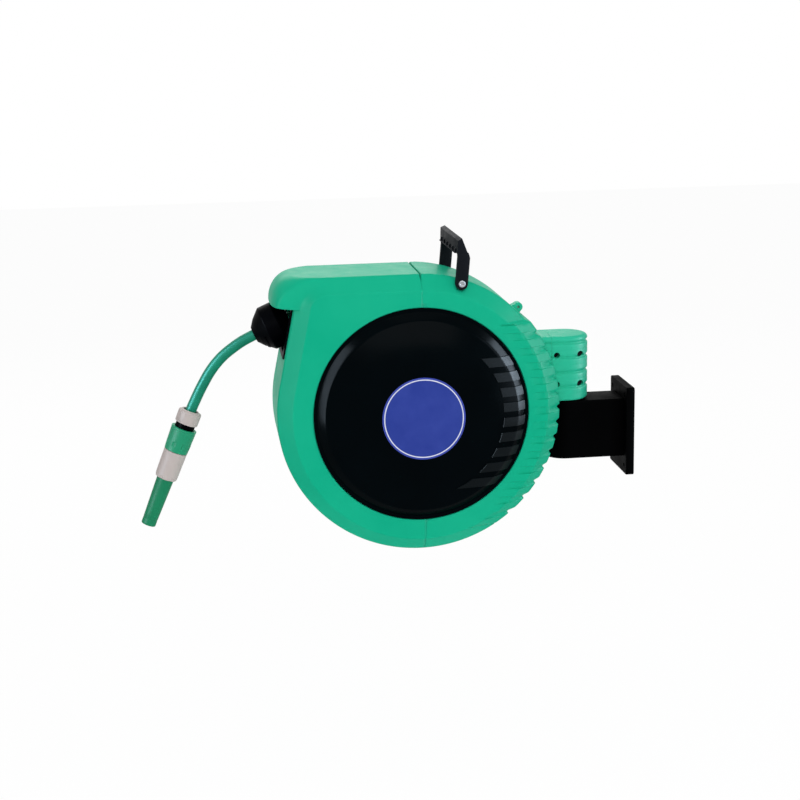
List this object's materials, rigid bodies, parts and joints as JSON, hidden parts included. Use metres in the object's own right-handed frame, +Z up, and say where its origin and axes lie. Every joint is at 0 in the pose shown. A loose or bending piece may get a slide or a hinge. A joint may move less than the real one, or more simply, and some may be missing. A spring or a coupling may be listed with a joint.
{
  "type": "retractable hose reel",
  "caption": "Wall-mounted garden hose reel: green two-part housing with black side covers, carry handle, hooded hose outlet with stop and click nozzle, swivelling on a black bracket.",
  "frame": {"origin": "Middle of the wall plate's back face, where it lies on the wall", "axes": "+X points into the wall, +Z up; the housing reaches out along -X, and the label side faces -Y"},
  "size_m": [0.6648, 0.2167, 0.4162],
  "materials": {
    "housing_green": "satin moulded green plastic",
    "cover_black": "glossy black plastic",
    "bracket_black": "dark satin plastic",
    "handle_black": "satin black plastic",
    "inner_black": "plain black moulding",
    "stop_black": "satin black plastic",
    "label_blue": "smooth blue label with a thin white ring",
    "hose_green": "glossy green hose",
    "connector_grey": "warm light grey plastic",
    "connector_green": "green plastic",
    "screw_steel": "plated steel",
    "brass": "machined brass",
    "roller_white": "natural acetal",
    "seal_rubber": "black seal rubber"
  },
  "bodies": {
    "bracket": {"wall_bracket": "bracket_black", "swivel_post": "screw_steel"},
    "housing": {"nose_shell": "housing_green", "rear_shell": "housing_green", "swivel_clamp": "housing_green", "clamp_screw_1": "screw_steel", "clamp_screw_2": "screw_steel", "clamp_screw_3": "screw_steel", "clamp_screw_4": "screw_steel", "swivel_bush_lower": "roller_white", "swivel_bush_upper": "roller_white", "label_side_cover": "cover_black", "inlet_side_cover": "cover_black", "label_disc": "label_blue", "cover_screw_1": "screw_steel", "cover_screw_2": "screw_steel", "cover_screw_3": "screw_steel", "axle_tube": "brass", "spring_arbor": "screw_steel", "inlet_elbow": "inner_black", "inlet_nipple": "inner_black", "pawl_pin": "screw_steel", "fairlead_frame": "inner_black", "handle_screw_inlet_side": "screw_steel", "handle_screw_label_side": "screw_steel", "hose_lead": "hose_green", "hose_stop_inlet_side": "stop_black", "hose_stop_label_side": "stop_black", "stop_screw_1": "screw_steel", "stop_screw_2": "screw_steel", "hose_free": "hose_green", "connector_nut": "connector_grey", "connector_body": "inner_black"},
    "drum": {"drum_half_inlet_side": "inner_black", "drum_half_label_side": "inner_black", "drum_bush_1": "roller_white", "drum_bush_2": "roller_white", "drum_screw_1": "screw_steel", "drum_screw_2": "screw_steel", "drum_screw_3": "screw_steel", "swivel_block": "brass", "swivel_seal_1": "seal_rubber", "swivel_seal_2": "seal_rubber", "spring_case": "inner_black", "spring_lid": "inner_black", "power_spring": "screw_steel", "hose_inner_layers": "hose_green", "hose_outer_layer": "hose_green", "ratchet_wheel": "screw_steel"},
    "pawl": {"ratchet_pawl": "screw_steel"},
    "handle": {"carry_handle": "handle_black"},
    "lower_guide": {"roller_lower": "roller_white"},
    "upper_guide": {"roller_upper": "roller_white"},
    "label_side_guide": {"roller_label_side": "roller_white"},
    "inlet_side_guide": {"roller_inlet_side": "roller_white"},
    "click_sleeve": {"release_sleeve": "connector_green"},
    "nozzle": {"nozzle_grip": "connector_grey", "nozzle_tube": "connector_green"}
  },
  "joints": [
    {"name": "bracket_swivel", "type": "hinge", "parent": "bracket", "child": "housing", "pos_m": [-0.088, 0, 0.045], "axis": [0, 0, 1], "range_deg": [-70, 70]},
    {"name": "drum_spin", "type": "hinge", "parent": "housing", "child": "drum", "pos_m": [-0.2935, 0, 0.045], "axis": [0, -1, 0], "continuous": true},
    {"name": "pawl_swing", "type": "hinge", "parent": "housing", "child": "pawl", "pos_m": [-0.30469, -0.0602, 0.11045], "axis": [0, -1, 0], "range_deg": [0, 7], "stiffness_Nm_per_rad": 0.05},
    {"name": "handle_fold", "type": "hinge", "parent": "housing", "child": "handle", "pos_m": [-0.2385, 0, 0.2155], "axis": [0, 1, 0], "range_deg": [-60, 0]},
    {"name": "lower_roller_spin", "type": "hinge", "parent": "housing", "child": "lower_guide", "pos_m": [-0.438, 0, 0.1559], "axis": [0, 1, 0], "continuous": true},
    {"name": "upper_roller_spin", "type": "hinge", "parent": "housing", "child": "upper_guide", "pos_m": [-0.438, 0, 0.1875], "axis": [0, 1, 0], "continuous": true},
    {"name": "label_side_roller_spin", "type": "hinge", "parent": "housing", "child": "label_side_guide", "pos_m": [-0.418, -0.0158, 0.1717], "axis": [0, 0, 1], "continuous": true},
    {"name": "inlet_side_roller_spin", "type": "hinge", "parent": "housing", "child": "inlet_side_guide", "pos_m": [-0.418, 0.0158, 0.1717], "axis": [0, 0, 1], "continuous": true},
    {"name": "sleeve_pull", "type": "slide", "parent": "housing", "child": "click_sleeve", "axis": [-0.385, 0, -0.9229], "range_m": [-0.005, 0], "stiffness_N_per_m": 300, "springref_m": 0.003},
    {"name": "nozzle_turn", "type": "hinge", "parent": "housing", "child": "nozzle", "pos_m": [-0.61437, 0, -0.00486], "axis": [-0.385, 0, -0.9229], "continuous": true}
  ]
}
